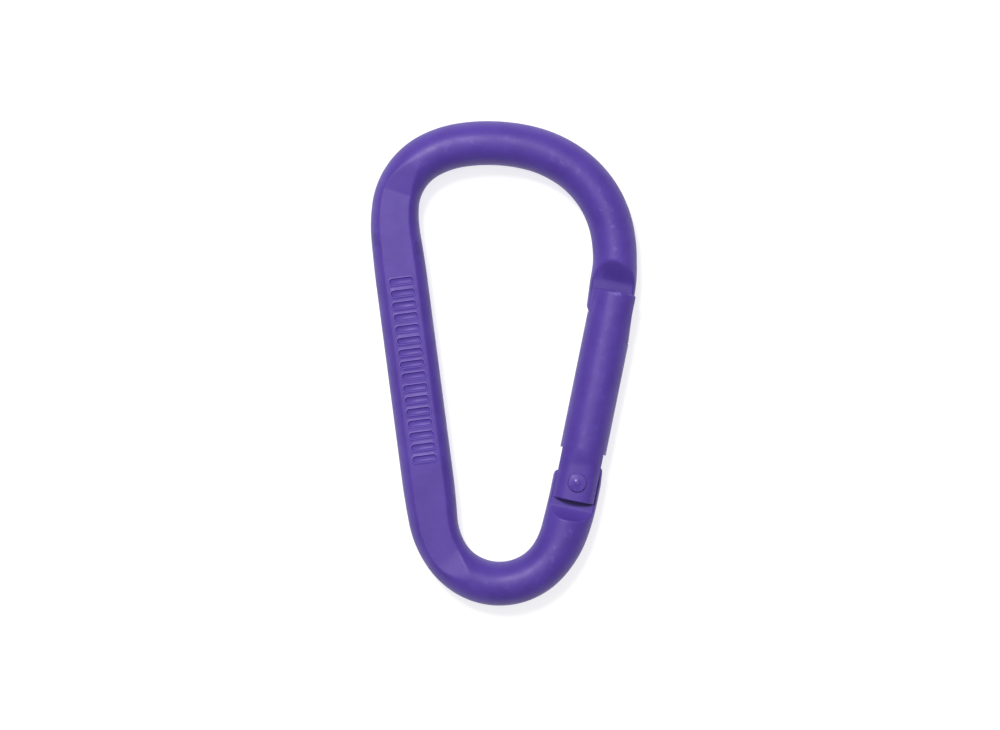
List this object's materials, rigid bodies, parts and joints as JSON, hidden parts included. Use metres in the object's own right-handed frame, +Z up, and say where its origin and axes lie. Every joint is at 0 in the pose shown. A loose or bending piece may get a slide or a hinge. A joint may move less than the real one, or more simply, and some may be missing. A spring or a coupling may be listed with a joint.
{
  "type": "spring-gate carabiner",
  "caption": "Pear-shaped carabiner of round coated rod with a pressed flat spine and an inward-opening sprung bar gate on a riveted tang hinge.",
  "frame": {"origin": "middle of the footprint, on the surface that the carabiner lies on", "axes": "+Y towards the wide end, +Z up through its thickness, +X towards the gate"},
  "size_m": [0.0482, 0.0878, 0.0084],
  "materials": {
    "coated_frame": "satin",
    "coated_gate": "satin",
    "coated_rivet": "satin",
    "spring_wire": "polished",
    "plunger_steel": "satin"
  },
  "bodies": {
    "frame": {"frame": "coated_frame"},
    "gate": {"gate": "coated_gate", "hinge_rivet": "coated_rivet", "gate_spring": "spring_wire"},
    "plunger": {"spring_plunger": "plunger_steel"}
  },
  "joints": [
    {"name": "gate_hinge", "type": "hinge", "parent": "frame", "child": "gate", "pos_m": [0.0132, -0.02148, 0.0042], "axis": [0, 0, 1], "range_deg": [0, 30], "stiffness_Nm_per_rad": 0.075, "springref_deg": -45.84, "deforming": ["gate_spring"]},
    {"name": "plunger_slide", "type": "slide", "parent": "gate", "child": "plunger", "axis": [0.1994, 0.9799, 0], "range_m": [0, 0.001]}
  ],
  "couplings": [
    {"joint": "plunger_slide", "follows": "gate_hinge", "m_per_rad": 0.0019}
  ]
}
